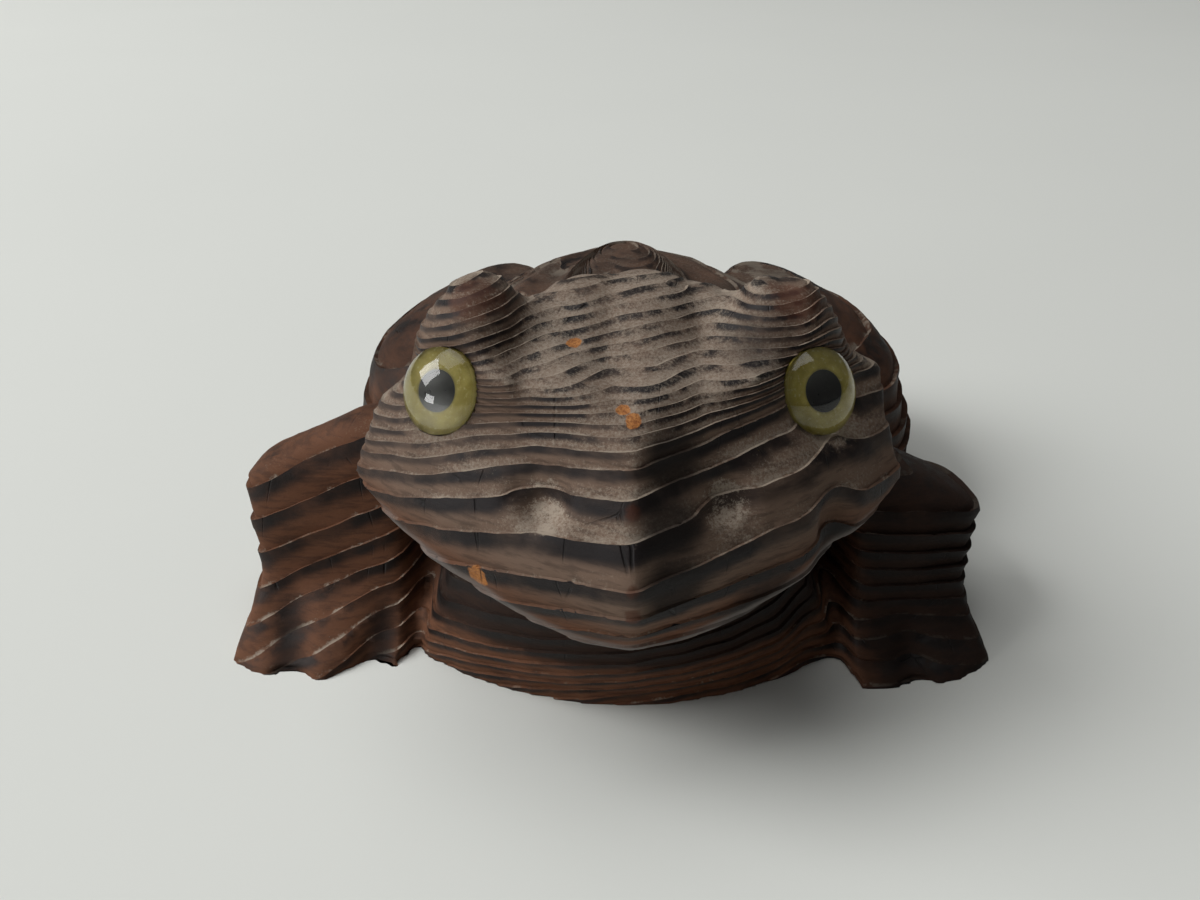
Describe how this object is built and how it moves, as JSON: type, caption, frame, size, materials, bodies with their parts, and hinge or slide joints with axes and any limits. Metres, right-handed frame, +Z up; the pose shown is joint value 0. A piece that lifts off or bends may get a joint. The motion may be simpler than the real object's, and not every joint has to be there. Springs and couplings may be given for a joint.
{
  "type": "frog figurine",
  "caption": "Squat frog carved from one dark block of wood with raised growth rings and set with domed glass eyes, an ornament that rests on its flat base.",
  "frame": {"origin": "middle of the bounding box on the surface that the frog sits on", "axes": "+Z up, -Y the way the frog looks, +X its left"},
  "size_m": [0.0872, 0.0886, 0.0436],
  "materials": {
    "wood": "charred and brushed softwood, stained dark brown, dusty, with proud growth rings",
    "glass_iris": "yellow-green glass, slightly cloudy",
    "glass_pupil": "black glass",
    "glass_cap": "clear polished glass",
    "wire": "drawn steel wire",
    "glue": "dried amber glue"
  },
  "bodies": {
    "root": {"carved_body": "wood", "left_eye_iris": "glass_iris", "left_eye_pupil": "glass_pupil", "left_eye_cap": "glass_cap", "left_eye_wire": "wire", "left_eye_glue": "glue", "right_eye_iris": "glass_iris", "right_eye_pupil": "glass_pupil", "right_eye_cap": "glass_cap", "right_eye_wire": "wire", "right_eye_glue": "glue"}
  },
  "joints": []
}
